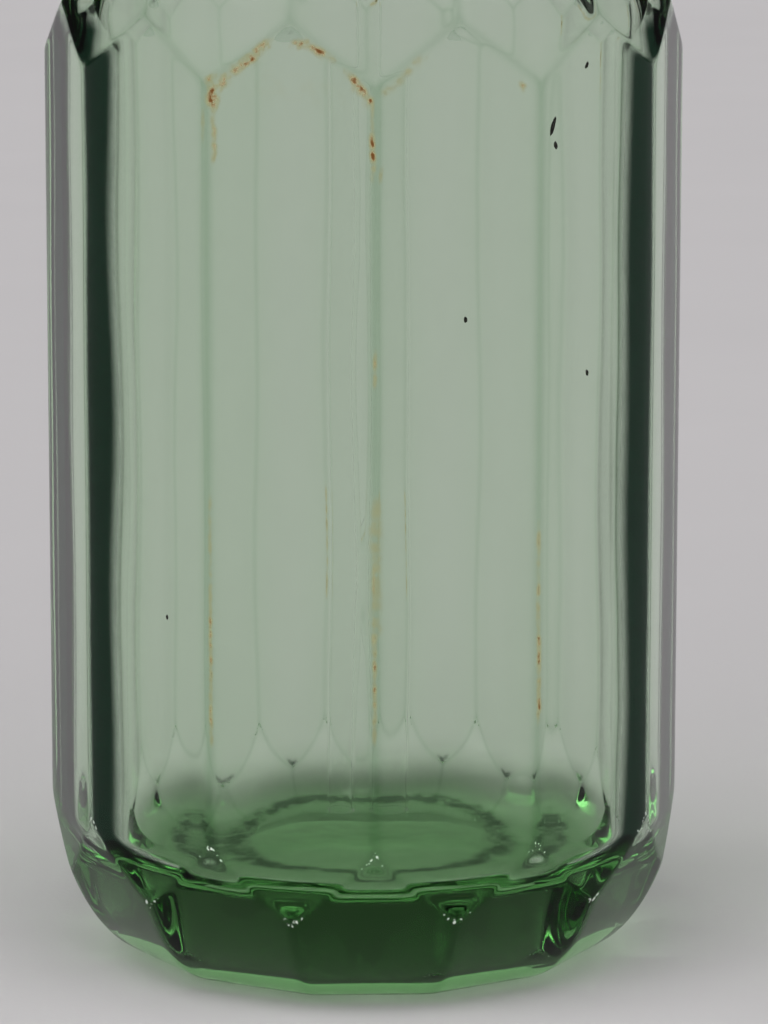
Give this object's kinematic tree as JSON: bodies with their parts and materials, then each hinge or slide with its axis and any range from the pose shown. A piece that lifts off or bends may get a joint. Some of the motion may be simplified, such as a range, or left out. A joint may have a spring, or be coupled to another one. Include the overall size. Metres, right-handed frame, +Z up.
{
  "type": "seltzer bottle",
  "caption": "Seltzer siphon: thick faceted pale green glass bottle with a metal lever head; pressing the lever lifts a spring-closed valve and water leaves by the spout.",
  "frame": {"origin": "middle of the base, on the surface the bottle stands on", "axes": "+Z up along the bottle's axis, the spout towards -X, the lever's handle towards +X, a ridge of the glass on each of +X, -X, +Y and -Y"},
  "size_m": [0.1142, 0.1, 0.3024],
  "materials": {
    "bottle_glass": "thick pale green bottle glass, polished, with worn and rust-stained ridges",
    "tube_glass": "thin clear tube",
    "cast_metal": "aged grey cast tin alloy, softly polished where it is handled",
    "brass": "dull turned brass",
    "spring_wire": "drawn steel wire",
    "rubber": "matt black rubber",
    "fibre": "red-brown pressed fibre",
    "leather": "oiled brown leather"
  },
  "bodies": {
    "root": {"glass_bottle": "bottle_glass", "dip_tube": "tube_glass", "head_body": "cast_metal", "top_cap": "cast_metal", "spout": "cast_metal", "collar_half_front": "cast_metal", "collar_half_back": "cast_metal", "tube_holder": "brass", "tube_nut": "brass", "packing_washer": "brass", "gland_nut": "brass", "spring_washer": "brass", "lever_pin": "brass", "piston_spring": "spring_wire", "neck_gasket": "rubber", "tube_grommet": "rubber", "cap_gasket": "fibre", "spout_gasket": "fibre", "seat_gasket": "fibre", "piston_packing": "leather"},
    "lever": {"lever": "cast_metal"},
    "piston": {"piston": "brass", "valve_disc": "rubber", "valve_screw": "brass"}
  },
  "joints": [
    {"name": "lever_pivot", "type": "hinge", "parent": "root", "child": "lever", "pos_m": [0.0123, 0, 0.27], "axis": [0, 1, 0], "range_deg": [0, 14], "stiffness_Nm_per_rad": 0.121, "springref_deg": -55.92},
    {"name": "piston_slide", "type": "slide", "parent": "root", "child": "piston", "axis": [0, 0, 1], "range_m": [0, 0.0031], "deforming": ["piston_spring"]}
  ],
  "couplings": [
    {"joint": "piston_slide", "follows": "lever_pivot", "m_per_rad": 0.0123}
  ]
}
